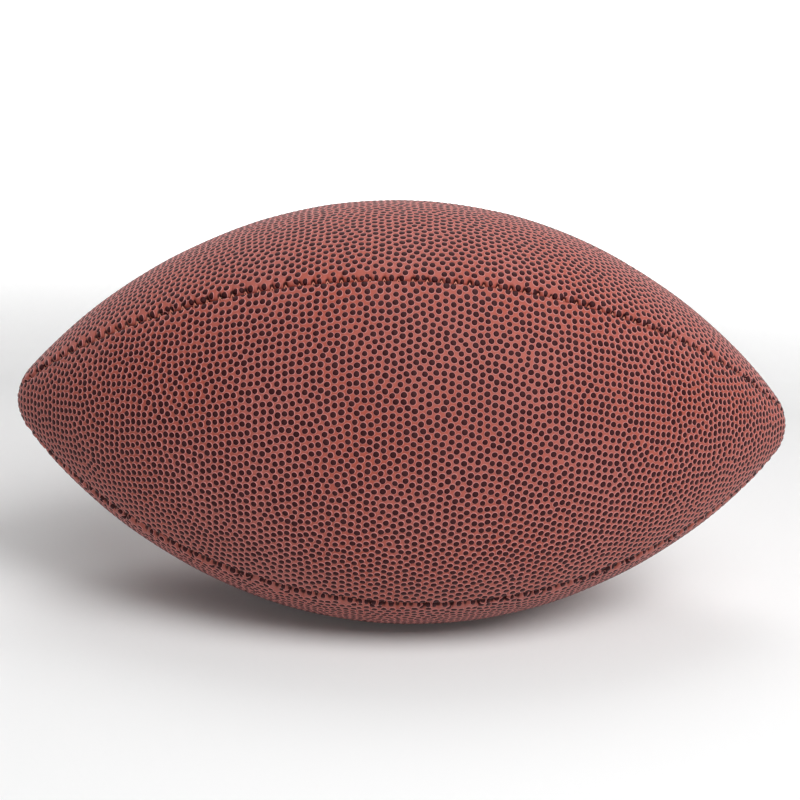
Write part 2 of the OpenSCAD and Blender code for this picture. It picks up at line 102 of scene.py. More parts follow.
def newObject(name, points, faces):
    mesh = bpy.data.meshes.new(name)
    mesh.from_pydata(points, [], faces)
    mesh.update()
    mesh.shade_smooth()
    return placeObject(name, mesh)


def pickOnly(piece):
    bpy.ops.object.select_all(action="DESELECT")
    piece.select_set(True)
    bpy.context.view_layer.objects.active = piece


def mode(name):
    bpy.ops.object.mode_set(mode=name)


def editAll(operator, **settings):  # an operator on the whole mesh of the active piece
    mode("EDIT")
    bpy.ops.mesh.select_all(action="SELECT")
    operator(**settings)
    mode("OBJECT")


def selectNothing(kind):
    mode("EDIT")
    bpy.ops.mesh.select_mode(type=kind)
    bpy.ops.mesh.select_all(action="DESELECT")
    mode("OBJECT")


def paint(piece, name, values):  # one number for each point
    layer = piece.data.attributes.new(name, "FLOAT", "POINT")
    layer.data.foreach_set("value", np.asarray(values, dtype=np.float32))


def searchTree(points):
    tree = KDTree(len(points))
    for index, point in enumerate(points):
        tree.insert(point, index)
    tree.balance()
    return tree


# Helpers for materials
def link(tree, source, target):
    tree.links.new(source, target)


def feed(tree, socket, value):  # a link, a number or a colour
    if isinstance(value, bpy.types.NodeSocket):
        link(tree, value, socket)
    elif isinstance(value, (int, float)):
        socket.default_value = value
    else:
        socket.default_value = (*value, 1)


def addNode(tree, kind, values):
    node = tree.nodes.new("ShaderNode" + kind)
    for name, value in values.items():
        feed(tree, node.inputs[name], value)
    return node


def objectPlace(tree, turn=(0, 0, 0)):
    place = tree.nodes.new("ShaderNodeTexCoord")
    mapping = addNode(tree, "Mapping", {"Vector": place.outputs["Object"]})
    mapping.inputs["Rotation"].default_value = turn
    return mapping.outputs["Vector"]


def newMaterial(name, roughness, specular=0.5):
    material = bpy.data.materials.new(name)
    material.use_nodes = True
    tree = material.node_tree
    shader = tree.nodes["Principled BSDF"]
    shader.inputs["Roughness"].default_value = roughness
    shader.inputs["Specular IOR Level"].default_value = specular
    return material, tree, objectPlace(tree)


def finish(material, colour, height, distance, strength, rough=None):
    tree = material.node_tree
    shader = tree.nodes["Principled BSDF"]
    link(tree, colour, shader.inputs["Base Color"])
    if rough:
        link(tree, rough, shader.inputs["Roughness"])
    bump = addNode(tree, "Bump", {"Distance": distance, "Strength": strength, "Height": height})
    link(tree, bump.outputs["Normal"], shader.inputs["Normal"])
    return material


def grey(value):
    return (value,) * 3


def noise(tree, place, scale, detail=3.0, roughness=0.5):
    return addNode(tree, "TexNoise", {"Vector": place, "Scale": scale, "Detail": detail,
                                      "Roughness": roughness}).outputs["Fac"]


def ramp(tree, value, stops):
    node = addNode(tree, "ValToRGB", {"Fac": value})
    band = node.color_ramp
    while len(band.elements) < len(stops):
        band.elements.new(0.5)
    for element, (position, colour) in zip(band.elements, stops):
        element.position = position
        element.color = (*colour, 1)
    return node.outputs["Color"]


def blendColours(tree, share, first, second, kind="MIX"):
    node = tree.nodes.new("ShaderNodeMix")
    node.data_type = "RGBA"
    node.blend_type = kind
    for name, value in (("Factor", share), ("A", first), ("B", second)):
        feed(tree, node.inputs[name], value)
    return node.outputs["Result"]


def calculate(tree, kind, first, second=0.0, third=0.0):
    node = tree.nodes.new("ShaderNodeMath")
    node.operation = kind
    for socket, value in zip(node.inputs, (first, second, third)):
        feed(tree, socket, value)
    return node.outputs["Value"]


def multiply(tree, first, second):
    return calculate(tree, "MULTIPLY", first, second)


def readAttribute(tree, name):
    node = tree.nodes.new("ShaderNodeAttribute")
    node.attribute_name = name
    return node.outputs["Fac"]


# Camera, from the outline of the ball in the photograph
cameraPlace = {
    "tilt": math.radians(11.31),
    "yaw": math.radians(2.45),
    "roll": math.radians(2.14),
    "offset": (0.00217, 0.49335, -0.00435),
    "lens": 59.45,
    "sensorWidth": 36.0,
    "clipStart": 0.01,
}


def addCamera():
    turn = (Matrix.Rotation(cameraPlace["roll"], 3, "Y")
            @ Matrix.Rotation(cameraPlace["yaw"], 3, "Z")
            @ Matrix.Rotation(cameraPlace["tilt"], 3, "X"))
    back = turn.transposed()
    middle = Vector((0, 0, axisHeight * mm))
    bpy.ops.object.camera_add(location=middle - back @ Vector(cameraPlace["offset"]))
    camera = bpy.context.object
    axes = [back @ Vector(way) for way in ((1, 0, 0), (0, 0, 1), (0, -1, 0))]
    camera.rotation_euler = Matrix(axes).transposed().to_euler()
    camera.data.lens = cameraPlace["lens"]
    camera.data.sensor_width = cameraPlace["sensorWidth"]
    camera.data.clip_start = cameraPlace["clipStart"]
    bpy.context.scene.camera = camera


# Floor and light
studio = {
    "floorColour": grey(0.87),
    "floorRoughness": 0.9,
    "floorReach": 3.0,
    "sweepRadius": 1.5,
    "sweepHeight": 3.0,
    "sweepSteps": 24,
    "white": grey(1),
    "worldStrength": 0.14,
    "nearGlow": 0.02,
    "farGlow": 0.78,  # light that the far paper gives, so that no horizon shows
    "glowStart": 0.5,
    "glowEnd": 1.5,
    "viewTransform": "Standard",
    "lights": [  # name, place, size, power
        ("keyLight", (0.65, -1.0, 1.05), 0.8, 14.1),
        ("fillLight", (0.1, -1.1, 1.1), 0.8, 4.6),
        ("topLight", (0.25, -0.1, 1.3), 1.1, 2.1),
        ("sweepLight", (0.0, 0.6, 2.2), 1.6, 17),
    ],
}


def makePaper():
    material, tree, place = newMaterial("paperFloor", studio["floorRoughness"])
    distance = tree.nodes.new("ShaderNodeVectorMath")
    distance.operation = "LENGTH"
    link(tree, place, distance.inputs[0])
    fade = addNode(tree, "MapRange", {
        "Value": distance.outputs["Value"],
        "From Min": studio["glowStart"], "From Max": studio["glowEnd"],
        "To Min": studio["nearGlow"], "To Max": studio["farGlow"]})
    shader = tree.nodes["Principled BSDF"]
    feed(tree, shader.inputs["Base Color"], studio["floorColour"])
    feed(tree, shader.inputs["Emission Color"], studio["white"])
    feed(tree, shader.inputs["Emission Strength"], fade.outputs["Result"])
    return material


def addStudio():
    reach = studio["floorReach"]
    bpy.ops.object.select_all(action="DESELECT")
    bpy.ops.mesh.primitive_plane_add(size=2 * reach, location=(0, 0, 0))
    floor = bpy.context.object
    floor.name = "floor"
    selectNothing("EDGE")
    for edge in floor.data.edges:
        edge.select = all(floor.data.vertices[i].co.y > 0 for i in edge.vertices)
    mode("EDIT")
    bpy.ops.mesh.spin(steps=studio["sweepSteps"], angle=math.pi / 2,
                      center=(0, reach, studio["sweepRadius"]), axis=(1, 0, 0))
    bpy.ops.mesh.extrude_region_move(
        TRANSFORM_OT_translate={"value": (0, 0, studio["sweepHeight"])})
    mode("OBJECT")
    floor.data.shade_smooth()
    floor.data.materials.append(makePaper())
    world = bpy.data.worlds.new("studio")
    world.use_nodes = True
    background = world.node_tree.nodes["Background"].inputs
    background["Color"].default_value = (*studio["white"], 1)
    background["Strength"].default_value = studio["worldStrength"]
    bpy.context.scene.world = world
    bpy.context.scene.view_settings.view_transform = studio["viewTransform"]
    for name, place, size, power in studio["lights"]:
        bpy.ops.object.light_add(type="AREA", location=place)
        lamp = bpy.context.object
        lamp.name = name
        lamp.data.shape = "DISK"
        lamp.data.size = size
        lamp.data.energy = power
        aim = Vector((0, 0, axisHeight * mm)) - Vector(place)
        lamp.rotation_euler = aim.to_track_quat("-Z", "Y").to_euler()


addCamera()
addStudio()
print("camera and studio ready")


# Finishes: each noise is its scale, detail and roughness
coverLook = {
    "orange": (0.36, 0.078, 0.052),
    "pink": (0.38, 0.115, 0.097),
    "mottle": (0.36, 0.075, 0.05),
    # painted shade: the dark colour laid into the seam's fold and stitch pits
    "seamShadeColour": (0.045, 0.008, 0.007),
    "specular": 0.22,
    "patchNoise": (28.0, 4.0, 0.55),
    "fineNoise": (620.0, 3.0, 0.6),
    "grainNoise": (2600.0, 2.0, 0.6),
    "bumpDepth": 0.00018,
}
pebbleLook = {
    # the dot's middle is lighter and greyer than its rim: painted sheen on the dome's top
    "middle": (0.039, 0.0105, 0.0115),
    "rim": (0.029, 0.003, 0.005),
    # pale ring on each dome's flank round the dot: partly paler leather, partly painted highlight
    # where the edge catches light
    "flankHighlight": (0.64, 0.28, 0.26),
    "edge": 0.81,  # share of the dome where the dark dot ends
    "edgeShake": 0.09,
    "toneLift": (0.07, 0.035, 0.036),  # what the palest dots are lighter by
    "toneShare": 0.15,
    "specular": 0.06,
    "edgeNoise": (900.0, 2.0, 0.5),
    "grainNoise": (3000.0, 2.0, 0.6),
    "bumpDepth": 0.00008,
}
threadLook = {
    # pinkish orange, lighter than the dark brown thread itself: painted highlight for strands that
    # lie in the shaded pits
    "dark": (0.58, 0.17, 0.11),
    "light": (0.72, 0.28, 0.20),
    "strandTurn": (0.4, 0.6, 0.3),
    "strandNoise": (2200.0, 2.0),
    "patchScale": 160.0,
    "bumpDepth": 0.0002,
}
laceLook = {
    "dark": (0.62, 0.60, 0.55),
    "light": (0.72, 0.71, 0.67),
    "worn": (0.46, 0.43, 0.38),
    "softNoise": (70.0, 4.0),
    "wornNoise": (1500.0, 3.0, 0.6),
    "cellScale": 1150.0,
    "bumpDepth": 0.00025,
}


def foldShade(tree):  # painted shade where the leather turns into a seam
    fold = readAttribute(tree, "fold")
    return ramp(tree, fold, [(0.0, grey(0)), (0.5, grey(0.08)), (0.85, grey(1))])


def makeCoverLeather():
    material, tree, place = newMaterial("coverLeather", 0.5, coverLook["specular"])
    wide = noise(tree, place, *coverLook["patchNoise"])
    fine = noise(tree, place, *coverLook["fineNoise"])
    grain = noise(tree, place, *coverLook["grainNoise"])
    patches = ramp(tree, wide, [(0.35, coverLook["orange"]), (0.68, coverLook["pink"])])
    mottled = blendColours(tree, multiply(tree, fine, 0.5), patches, coverLook["mottle"])
    # painted shade darkens the leather in the seam's fold and pits
    colour = blendColours(tree, foldShade(tree), mottled, coverLook["seamShadeColour"])
    rough = ramp(tree, fine, [(0.3, grey(0.42)), (0.75, grey(0.6))])
    height = calculate(tree, "ADD", multiply(tree, fine, 0.7), multiply(tree, grain, 0.3))
    return finish(material, colour, height, coverLook["bumpDepth"], 0.8, rough)


def makePebbleLeather():
    material, tree, place = newMaterial("pebbleLeather", 0.45, pebbleLook["specular"])
    uneven = calculate(tree, "SUBTRACT", noise(tree, place, *pebbleLook["edgeNoise"]), 0.5)
    grain = noise(tree, place, *pebbleLook["grainNoise"])
    shaken = calculate(tree, "ADD", readAttribute(tree, "fromCentre"),
                       multiply(tree, uneven, pebbleLook["edgeShake"]))
    edge, middle, rim = pebbleLook["edge"], pebbleLook["middle"], pebbleLook["rim"]
    dot = ramp(tree, shaken, [(0.0, middle), (edge - 0.40, middle), (edge - 0.16, rim),
                              (edge - 0.01, rim), (edge + 0.02, pebbleLook["flankHighlight"]),
                              (1.0, coverLook["pink"])])
    tone = multiply(tree, readAttribute(tree, "tone"), pebbleLook["toneShare"])
    toned = blendColours(tree, tone, dot, pebbleLook["toneLift"], "ADD")
    rimOnly = ramp(tree, shaken, [(edge - 0.02, grey(0)), (edge + 0.01, grey(1))])
    # pebbles in the seam's fold get the same painted shade
    colour = blendColours(tree, foldShade(tree), blendColours(tree, rimOnly, toned, dot),
                          coverLook["seamShadeColour"])
    rough = ramp(tree, grain, [(0.3, grey(0.36)), (0.75, grey(0.56))])
    return finish(material, colour, grain, pebbleLook["bumpDepth"], 0.6, rough)


def makeThread():
    material, tree, place = newMaterial("waxedThread", 0.5, 0.4)
    strand = noise(tree, objectPlace(tree, threadLook["strandTurn"]), *threadLook["strandNoise"])
    patches = noise(tree, place, threadLook["patchScale"])
    colour = ramp(tree, patches, [(0.3, threadLook["dark"]), (0.7, threadLook["light"])])
    return finish(material, colour, strand, threadLook["bumpDepth"], 0.8)


def makeLaceCoating():
    material, tree, place = newMaterial("laceCoating", 0.45, 0.5)
    soft = noise(tree, place, *laceLook["softNoise"])
    grain = noise(tree, place, *laceLook["wornNoise"])
    cells = addNode(tree, "TexVoronoi", {"Vector": place, "Scale": laceLook["cellScale"]})
    colour = ramp(tree, soft, [(0.3, laceLook["dark"]), (0.7, laceLook["light"])])
    worn = blendColours(tree, multiply(tree, grain, 0.35), colour, laceLook["worn"])
    return finish(material, worn, cells.outputs["Distance"], laceLook["bumpDepth"], 0.7)


def makeWeave(name, light, dark, pitch, depth):
    material, tree, place = newMaterial(name, 0.85, 0.2)
    parts = addNode(tree, "SeparateXYZ", {"Vector": place}).outputs
    turns = math.tau / pitch
    warp = calculate(tree, "SINE", multiply(tree, parts["X"], turns))
    across = calculate(tree, "ADD", parts["Y"], parts["Z"])
    weft = calculate(tree, "SINE", multiply(tree, across, turns))
    weave = calculate(tree, "MULTIPLY_ADD", multiply(tree, warp, weft), 0.5, 0.5)
    fuzz = noise(tree, place, 900.0)
    colour = blendColours(tree, weave, dark, light)
    dusty = blendColours(tree, multiply(tree, fuzz, 0.4), colour, dark)
    return finish(material, dusty, weave, depth, 0.8)


def makeGrain(name, light, dark, roughness, scale, depth):
    material, tree, place = newMaterial(name, roughness, 0.4)
    patches = noise(tree, place, scale / 12, 4.0)
    grain = noise(tree, place, scale, 3.0, 0.6)
    colour = ramp(tree, patches, [(0.3, dark), (0.7, light)])
    rough = ramp(tree, grain, [(0.3, grey(roughness - 0.08)), (0.7, grey(roughness + 0.08))])
    return finish(material, colour, grain, depth, 0.7, rough)


coverLeather = makeCoverLeather()
pebbleLeather = makePebbleLeather()
waxedThread = makeThread()
laceCoating = makeLaceCoating()
liningWeave = makeWeave("liningWeave", light=(0.78, 0.72, 0.6), dark=(0.5, 0.44, 0.34),
                        pitch=0.0011, depth=0.0003)
tongueFelt = makeGrain("tongueFelt", light=(0.66, 0.62, 0.52), dark=(0.52, 0.48, 0.4),
                       roughness=0.9, scale=1800.0, depth=0.0003)
facingLeather = makeGrain("facingLeather", light=(0.30, 0.15, 0.085), dark=(0.22, 0.10, 0.055),
                          roughness=0.7, scale=1400.0, depth=0.0002)
bladderRubber = makeGrain("bladderRubber", light=(0.045, 0.045, 0.05), dark=(0.03, 0.03, 0.034),
                          roughness=0.45, scale=500.0, depth=0.0001)
valveRubber = makeGrain("valveRubber", light=(0.035, 0.035, 0.036), dark=(0.02, 0.02, 0.021),
                        roughness=0.6, scale=1600.0, depth=0.0001)
print("materials ready")


# Seams: where the stitches pull, and how the edge of each panel rolls in.
# The tables by angle hold a factor for the panel in that direction.
seam = {
    "pitch": 4.7,
    "endDistance": 13.0,
    "slotHalf": 60.95,  # half length of the slot under the lace
    "endHole": 58.0,
    "endHoleRadius": 2.6,
    "threadThickness": 0.8,
    "strandThickness": 0.6,
    "strandPlaces": (  # of one stitch: across, depth and shift along
        (-2.85, 4.1, 0.0), (-1.4, 3.8, -0.4), (-0.35, 1.95, -0.75), (1.0, 1.3, 0.05),
        (-0.15, 1.95, 0.75), (1.4, 3.9, 0.5), (2.85, 4.1, 0.0)),
    "width": (1.0, 1.0, 0.45),  # of the roll: at rest, and what a pull and an open stretch add
    "depth": (1.15, 0.0, 0.9),
    "gap": (0.01, 0.5, 0.3),
    "pullDepth": 1.4,
    "pullCurve": 1.4,
    "widestGap": 0.9,
    "gapShare": 0.06,  # most of the radius that the gap and the roll may take
    "rollShare": 0.4,
    "leastPull": 0.75,  # strength of the weakest pull, and what others add
    "pullSpread": 0.6,
    "pullReach": 0.72,
    "scallop": 0.2,  # the wider part of each pull
    "scallopReach": 1.6,
    "dimple": 0.2,
    "dimpleReach": 2.0,
    "openStart": 30.0,  # left of the middle, where the seams begin to open
    "openReach": 60.0,
    "unevenness": 0.10,
    "panelPull": {0: 0.2, 90: 1.0, 180: 0.8, 270: 1.0},
    "panelRoll": {0: 0.6, 90: 1.0, 180: 0.9, 270: 2.1},
    "panelDepth": {0: 1.0, 90: 1.0, 180: 1.0, 270: 1.55},
    "pitStart": 0.25,  # pull at which painted shade begins in a stitch's pit
    "pitReach": 0.4,
    "pitRoll": 2.2,
    "shadeStart": 0.5,  # depth at which painted shade begins in the fold
    "shadeReach": 1.6,
    "liningReach": 1.42,  # where the lining begins beside the seam, and how deep it lies
    "liningDepth": 1.75,
    "liningRise": 9.0,
    "wallDepth": 2.6,
    "wallReach": 1.2,
    "wallGap": 0.04,
    "wallFade": 14.0,  # radius below which the wall gets shorter
    "leastWall": 0.05,
    "tipFade": 9.0,  # radius below which the roll gets smaller
    "leastSize": 0.04,
}
stitchEnd = tipRun - seam["endDistance"]


def stitchRow(start, end):
    count = int((end - start) // seam["pitch"])
    return (start + end) / 2 + (np.arange(count + 1) - count / 2) * seam["pitch"]


laceSeamStart = seam["slotHalf"] + seam["threadThickness"]
wholeRow = stitchRow(-stitchEnd, stitchEnd)
laceRows = [stitchRow(-stitchEnd, -laceSeamStart), stitchRow(laceSeamStart, stitchEnd)]
seamNames = {45: "upper_front", 135: "lace_seam", 225: "lower_back", 315: "lower_front"}
seamStitches = {angle: wholeRow for angle in seamNames}
seamStitches[135] = np.concatenate(laceRows)


def scatter(number, salt):  # the same number between 0 and 1 for the same input
    value = np.sin(number * 12.9898 + salt * 78.233) * 43758.5453
    return value - np.floor(value)


def pullAt(seamAngle, run):
    stitches = seamStitches[seamAngle % 360]
    index = np.clip(np.searchsorted(stitches, run), 1, len(stitches) - 1)
    before = np.abs(run - stitches[index - 1]) < np.abs(run - stitches[index])
    nearer = np.where(before, index - 1, index)
    away = np.abs(run - stitches[nearer])
    strength = seam["leastPull"] + seam["pullSpread"] * scatter(nearer, seamAngle / 45)
    narrow = (1 - seam["scallop"]) * np.exp(-(away / seam["pullReach"]) ** 2)
    return strength * (narrow + seam["scallop"] * np.exp(-(away / seam["scallopReach"]) ** 2))


def waves(run, turn, salt):  # slow unevenness between -1 and 1
    return (np.sin(run * 0.071 + salt * 2.1 + 1.7 * np.sin(turn * 2 + salt))
            + np.sin(run * 0.043 - turn * 3.1 + salt)
            + np.sin(run * 0.19 + turn * 4.3 + salt * 3.3)) / 3


def edgeAt(angle, side, run):  # the roll of a panel along one of its seams
    seamAngle = np.where(side > 0, angle + 45, angle - 45)
    pull = np.where(side > 0, pullAt(angle + 45, run), pullAt(angle - 45, run))
    pull = pull * seam["panelPull"][angle]
    radius = radiusAt(run)
    size = np.clip(radius / seam["tipFade"], seam["leastSize"], 1.0)
    slow = 0.5 + 0.5 * waves(run, 0.3, 5.0 + angle / 90)
    slow = slow * 0.5 + np.clip((-run - seam["openStart"]) / seam["openReach"], 0, 1)
    width, depth, gap = [(rest + pulling * pull + opening * slow) * size
                         for rest, pulling, opening in (seam["width"], seam["depth"], seam["gap"])]
    width = np.minimum(width * seam["panelRoll"][angle], seam["rollShare"] * radius)
    depth = depth * seam["panelDepth"][angle]
    pulled = seam["pullDepth"] * pull * size
    gap = np.minimum(gap, np.minimum(seam["gapShare"] * radius, seam["widestGap"]))
    fromHole = np.abs(run) - seam["endHole"]
    hole = np.sqrt(np.clip(seam["endHoleRadius"] ** 2 - fromHole ** 2, 0.0, None))
    gap = np.where(seamAngle % 360 == 135, np.maximum(gap, hole), gap)
    start = np.arcsin((gap + width) / radius)
    belly = radius * (math.pi / 4 - start)
    whole = depth + pulled
    length = (math.pi / 4) * (1.5 * (width + whole) - np.sqrt(width * whole))  # quarter ellipse
    return {"seamAngle": seamAngle, "pull": pull, "radius": radius, "width": width,
            "depth": depth, "gap": gap, "belly": belly, "length": length, "pulled": pulled}


def coverSurface(angle, run, flat):  # point in millimetres and its share of painted shade in the fold and the stitch pits
    side = np.where(flat >= 0, 1.0, -1.0)
    edge = edgeAt(angle, side, run)
    pull, gap, belly, length = edge["pull"], edge["gap"], edge["belly"], edge["length"]
    reach = np.abs(flat)
    beyond = reach - belly
    roll = np.clip(beyond / length, 0.0, 1.0) * math.pi / 2
    wall = np.clip(beyond - length, 0.0, None)
    dip = seam["dimple"] * pull * np.exp(np.minimum(beyond, 0.0) / seam["dimpleReach"])
    turn = np.clip(reach, None, belly) / edge["radius"] * side
    uneven = seam["unevenness"] * (1 + waves(run, np.radians(angle) + turn, 1.0))
    sunk = (edge["depth"] * (1 - np.cos(roll))
            + edge["pulled"] * np.sin(roll) ** seam["pullCurve"] + wall)
    off = gap + edge["width"] * (1 - np.sin(roll))
    inWall = gap * np.exp(-wall / seam["wallReach"]) + seam["wallGap"]
    off = np.where(wall > 0, inWall, off)
    besideLining = np.clip(seam["liningReach"] - off, 0.0, None)
    aboveLining = seam["liningDepth"] + seam["liningRise"] * besideLining
    x, level = outlineAt(run, np.minimum(groundDrop + dip + uneven + sunk, aboveLining))[:2]
    e = np.radians(angle) + turn
    s = np.radians(edge["seamAngle"])
    inPlane = np.sqrt(np.maximum(level ** 2 - off ** 2, 0.0))
    edgeY = -inPlane * np.cos(s) - side * off * np.sin(s)
    edgeZ = inPlane * np.sin(s) - side * off * np.cos(s)
    y = np.where(beyond > 0, edgeY, -level * np.cos(e))
    z = np.where(beyond > 0, edgeZ, level * np.sin(e)) + axisHeight
    # painted shade: darker in the pits at pulled stitches and deeper in the fold
    pit = np.clip((pull - seam["pitStart"]) / seam["pitReach"], 0.0, 1.0)
    pit = pit * np.clip(roll * seam["pitRoll"], 0.0, 1.0)
    folded = (sunk / seam["panelDepth"][angle] - seam["shadeStart"]) / seam["shadeReach"]
    return np.stack([x, y, z], axis=-1), np.maximum(np.clip(folded, 0.0, 1.0), pit)


# Cover panels: a grid laid on the ball, with its edges rolled into the seams
panel = {
    "rowSpacing": 0.5,
    "rowsAtStitch": (-1.9, -1.45, -1.05, -0.75, -0.5, -0.25, 0.0,
                     0.25, 0.5, 0.75, 1.05, 1.45, 1.9),
    "rowGap": 0.2,
    "bellyColumns": 26,
    "rollColumns": 8,
    "wallColumns": 3,
    "thickness": 1.25,
    "tipGap": 0.12,
    "tipMargin": 0.1,
    "sharpAngle": math.radians(60),
    "holeSteps": 40,
    "holeRing": 0.5,  # from the hole to a second ring of points round it
    "holeMargin": 0.9,  # from the hole to the grid that is left
    "holeCore": 0.9,  # share of the hole's radius that no triangle lies in
    "weldDistance": 0.001,
    "liningEnd": 132.0,  # past this the tips are left as they are
    "liningGap": 0.08,
    "sheetWidth": 140.0,
    "sheetShare": 0.48,  # of the texture's height, for each face of the sheet
    "outerMiddle": 0.24,
    "innerShift": 0.5,
}
tipLimit = (ball["length"] / 2 - panel["tipMargin"]) * mm
panelAngles = {"front": 0, "top": 90, "back": 180, "bottom": 270}


def panelRows():  # closer rows at each stitch, for the pulled places
    firstRow = tipRun - wholeRow[-1] + panel["rowsAtStitch"][0]
    ends = np.arange(panel["tipGap"], firstRow - panel["rowGap"],
                     panel["rowSpacing"])
    stitched = (wholeRow[:, None] + np.array(panel["rowsAtStitch"])[None, :]).ravel()
    return np.concatenate([-tipRun + ends, stitched, tipRun - ends[::-1]])


def panelGrid(angle):  # the distance along of each row, and across of each point in it
    runs = panelRows()
    low = edgeAt(angle, -1.0, runs)
    high = edgeAt(angle, 1.0, runs)
    bellyShares = np.sin(np.linspace(-1, 1, panel["bellyColumns"] + 1) * math.pi / 2)
    rollShares = np.linspace(0, 1, panel["rollColumns"] + 1)[1:]
    wallShares = np.linspace(0, 1, panel["wallColumns"] + 1)[1:]
    shrink = np.clip(low["radius"] / seam["wallFade"], seam["leastWall"], 1.0)
    wallDepth = seam["wallDepth"] * shrink

    def sideColumns(edge):  # round the roll, and then down the wall
        roll = edge["belly"][:, None] + rollShares * edge["length"][:, None]
        wall = (edge["belly"] + edge["length"])[:, None] + wallShares * wallDepth[:, None]
        return np.concatenate([roll, wall], axis=1)

    half = np.where(bellyShares < 0, low["belly"][:, None], high["belly"][:, None])
    columns = [-sideColumns(low)[:, ::-1], bellyShares * half, sideColumns(high)]
    return runs, np.concatenate(columns, axis=1)


def sheetPlace(run, across):  # place on the flat sheet, for its texture
    up = panel["outerMiddle"] + panel["sheetShare"] * across / panel["sheetWidth"]
    return (run + tipRun) / (2 * tipRun), up


def patchAround(piece, angle, hole, runs, flat):  # for a block of the grid, with the hole
    holeRun, holeTurn, radius = hole[0], hole[1], hole[3]
    holeFlat = holeTurn * float(radiusAt(np.array(holeRun)))
    wide = radius + panel["holeMargin"]
    top = np.searchsorted(runs, holeRun - wide) - 1
    bottom = np.searchsorted(runs, holeRun + wide)
    row = flat[(top + bottom) // 2]
    left, right = np.searchsorted(row, holeFlat - wide) - 1, np.searchsorted(row, holeFlat + wide)
    border = [(top, c) for c in range(left, right)] + [(r, right) for r in range(top, bottom)]
    border += [(bottom, c) for c in range(right, left, -1)]
    border += [(r, left) for r in range(bottom, top, -1)]
    steps = panel["holeSteps"]
    clock = np.arange(steps) / steps * math.tau
    sizes = (radius, radius + panel["holeRing"])
    ringRun = np.concatenate([holeRun + size * np.cos(clock) for size in sizes])
    ringFlat = np.concatenate([holeFlat + size * np.sin(clock) for size in sizes])
    columns = flat.shape[1]
    points = [piece.data.vertices[r * columns + c].co.copy() for r, c in border]
    points += [Vector(p) * mm for p in coverSurface(angle, ringRun, ringFlat)[0]]
    places = [Vector((runs[r], flat[r, c])) for r, c in border]
    places += [Vector(p) for p in zip(ringRun, ringFlat)]
    count = len(border)
    edges = [(i, (i + 1) % count) for i in range(count)]
    edges += [(count + i, count + (i + 1) % steps) for i in range(steps)]
    triangles = delaunay_2d_cdt(places, edges, [], 1, tiny)[2]  # 1 keeps to the border
    kept = []
    for triangle in triangles:
        onRim = all(count <= i < count + steps for i in triangle)
        middle = sum((places[i] for i in triangle), Vector((0, 0))) / 3
        away = (middle - Vector((holeRun, holeFlat))).length
        if not onRim and away > panel["holeCore"] * radius:
            kept.append(tuple(triangle))
    return (top, bottom, left, right), points, kept, places


def openSheet(piece, angle, holes, runs, flat):
    corners = np.empty(len(piece.data.polygons) * 4, dtype=np.int32)
    piece.data.polygons.foreach_get("vertices", corners)
    first = corners.reshape(-1, 4).min(axis=1)
    faceRow, faceColumn = np.divmod(first, flat.shape[1])
    inside = np.zeros(len(first), bool)
    points, faces, places = [], [], []
    for hole in holes:
        block, more, moreFaces, morePlaces = patchAround(piece, angle, hole, runs, flat)
        top, bottom, left, right = block
        inside |= ((faceRow >= top) & (faceRow < bottom)
                   & (faceColumn >= left) & (faceColumn < right))
        faces += [tuple(i + len(points) for i in face) for face in moreFaces]
        points += more
        places += morePlaces
    patch = newObject(piece.name + "_patch", points, faces)
    layer = patch.data.uv_layers.new(name=piece.data.uv_layers[0].name)
    for corner in patch.data.loops:
        layer.data[corner.index].uv = sheetPlace(*places[corner.vertex_index])
    pickOnly(piece)
    selectNothing("FACE")
    piece.data.polygons.foreach_set("select", inside)
    mode("EDIT")
    bpy.ops.mesh.delete(type="FACE")
    bpy.ops.mesh.select_mode(type="VERT")
    mode("OBJECT")
    patch.select_set(True)
    bpy.ops.object.join()
    near = searchTree(points)
    weld = panel["weldDistance"] * mm
    for vertex in piece.data.vertices:  # only the rims of the patches are welded
        vertex.select = near.find(vertex.co)[2] < weld
    mode("EDIT")
    bpy.ops.mesh.remove_doubles(threshold=weld)
    mode("OBJECT")
    editAll(bpy.ops.mesh.normals_make_consistent, inside=False)


def clearLining(piece, outerCount):  # keeps pulled edges off the lining
    count = len(piece.data.vertices)
    points = np.empty(count * 3)
    piece.data.vertices.foreach_get("co", points)
    points = points.reshape(-1, 3) / mm
    y, z = points[:, 1].copy(), points[:, 2] - axisHeight
    radius = np.hypot(y, z)
    sides = np.stack(((y - z), (y + z))) * diagonal  # distance from each of the two seam planes
    near = np.abs(sides).argmin(axis=0)
    off = np.abs(sides).min(axis=0)
    liningTop = seam["liningDepth"] + panel["liningGap"]
    x, level = outlineAt(np.linspace(-tipRun, tipRun, ball["outlineSteps"]), liningTop)[:2]
    rise = np.interp(points[:, 0], x, level) - radius
    past = off - seam["liningReach"] + panel["liningGap"]
    inside = (np.arange(count) >= outerCount) & (past > 0) & (rise > 0)
    inside &= np.abs(points[:, 0]) < panel["liningEnd"]
    for plane in (0, 1):
        pulled = inside & (past < rise) & (near == plane)
        sides[plane, pulled] -= np.sign(sides[plane, pulled]) * past[pulled]
    share = np.where(inside & (past >= rise), 1 + rise / radius, 1.0)
    points[:, 1] = (sides[0] + sides[1]) * diagonal * share
    points[:, 2] = (sides[1] - sides[0]) * diagonal * share + axisHeight
    piece.data.vertices.foreach_set("co", (points * mm).ravel())
    print(piece.name, int(inside.sum()), "inner points moved clear of the lining")


